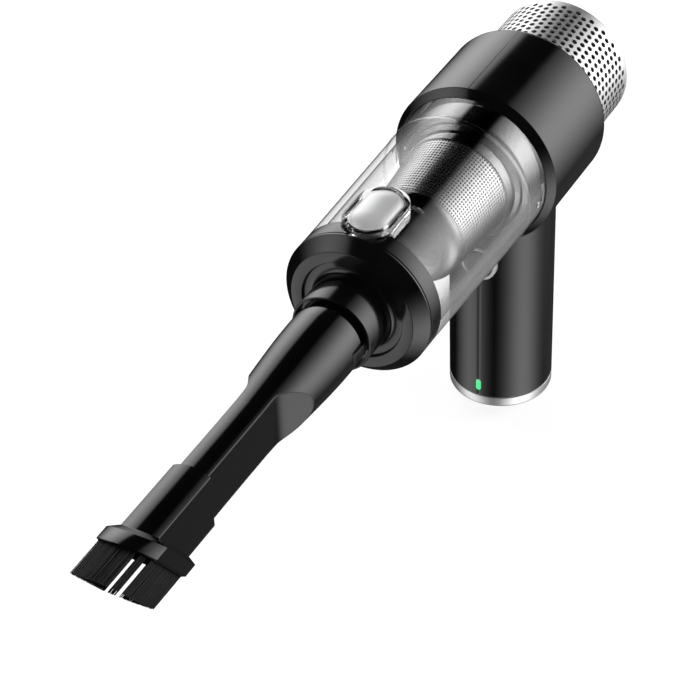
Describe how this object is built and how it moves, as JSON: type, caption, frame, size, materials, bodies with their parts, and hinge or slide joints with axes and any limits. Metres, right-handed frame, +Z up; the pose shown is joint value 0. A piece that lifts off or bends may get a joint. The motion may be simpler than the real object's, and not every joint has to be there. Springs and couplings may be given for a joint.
{
  "type": "car vacuum cleaner",
  "caption": "Cordless hand-held car vacuum cleaner with a round grip, clear dust cup, perforated exhaust drum, crevice nozzle and slide-on brush.",
  "frame": {"origin": "centre of the grip's foot, where it stands", "axes": "+Z up along the grip, -Y forward along the body towards the nozzle, +X to the right as seen from the front"},
  "size_m": [0.069, 0.3529, 0.1585],
  "materials": {
    "shell_black": "satin",
    "nose_black": "satin",
    "gloss_black": "gloss",
    "bristle": "satin",
    "clear": "clear",
    "bright": "polished",
    "polished": "polished",
    "drum_steel": "bright",
    "steel": "plain",
    "mesh_steel": "woven",
    "iron": "plain",
    "copper": "plain",
    "inner_black": "matte",
    "filter_grey": "satin",
    "paper": "matte",
    "foam": "matte",
    "rubber": "matte",
    "cell_wrap": "wrapped",
    "holder": "matte",
    "board": "lacquered",
    "light": "lit",
    "lead": "plain",
    "button_dark": "satin"
  },
  "bodies": {
    "body": {"housing_shell": "shell_black", "exhaust_drum": "drum_steel", "exhaust_foam": "foam", "housing_seal": "rubber", "rear_frame": "inner_black", "motor_damper": "rubber", "motor_mount": "inner_black", "motor_can": "steel", "motor_magnets": "iron", "motor_end_plate": "steel", "front_bearing": "steel", "rear_bearing": "steel", "fan_shroud": "inner_black", "grip_left": "shell_black", "grip_right": "shell_black", "foot_ring": "polished", "foot_plate": "nose_black", "foot_pad": "rubber", "foot_screws": "steel", "battery_cells": "cell_wrap", "cell_holder_lower": "holder", "cell_holder_upper": "holder", "cell_straps": "steel", "control_board": "board", "power_switch": "inner_black", "charge_board": "board", "charge_inlet": "steel", "charge_light": "light", "motor_leads": "lead", "button_bezel": "bright"},
    "rotor": {"motor_shaft": "steel", "rotor_core": "iron", "commutator": "copper", "fan_wheel": "inner_black"},
    "power_button": {"power_button": "button_dark"},
    "cup": {"dust_cup": "clear", "release_bezel": "clear", "hinge_pin": "steel"},
    "release_button": {"release_button": "bright"},
    "filter": {"filter_frame": "filter_grey", "filter_mesh": "mesh_steel", "filter_pleats": "paper", "filter_cap": "filter_grey", "filter_seal": "rubber"},
    "nose": {"nose_cap": "nose_black", "nose_seal": "rubber", "flap_pin": "steel"},
    "flap": {"inlet_flap": "rubber"},
    "nozzle": {"nozzle": "gloss_black"},
    "brush": {"brush_collar": "gloss_black", "brush_bristles": "bristle"}
  },
  "joints": [
    {"name": "rotor_spin", "type": "hinge", "parent": "body", "child": "rotor", "pos_m": [0, 0, 0.124], "axis": [0, 1, 0], "continuous": true},
    {"name": "power_press", "type": "slide", "parent": "body", "child": "power_button", "axis": [0, 1, 0], "range_m": [0, 0.0012], "stiffness_N_per_m": 800},
    {"name": "cup_pull", "type": "slide", "parent": "body", "child": "cup", "axis": [0, -1, 0], "range_m": [0, 0.09]},
    {"name": "filter_pull", "type": "slide", "parent": "body", "child": "filter", "axis": [0, -1, 0], "range_m": [0, 0.008]},
    {"name": "release_press", "type": "slide", "parent": "cup", "child": "release_button", "axis": [0, 0, -1], "range_m": [0, 0.0015], "stiffness_N_per_m": 700},
    {"name": "nose_open", "type": "hinge", "parent": "cup", "child": "nose", "pos_m": [0, -0.111, 0.0921], "axis": [1, 0, 0], "range_deg": [0, 90]},
    {"name": "flap_swing", "type": "hinge", "parent": "nose", "child": "flap", "pos_m": [0, -0.11035, 0.1403], "axis": [1, 0, 0], "range_deg": [0, 40]},
    {"name": "nozzle_pull", "type": "slide", "parent": "nose", "child": "nozzle", "axis": [0, -1, 0], "range_m": [0, 0.022]},
    {"name": "brush_slide", "type": "slide", "parent": "nozzle", "child": "brush", "axis": [0, 1, 0], "range_m": [0, 0.025]}
  ]
}
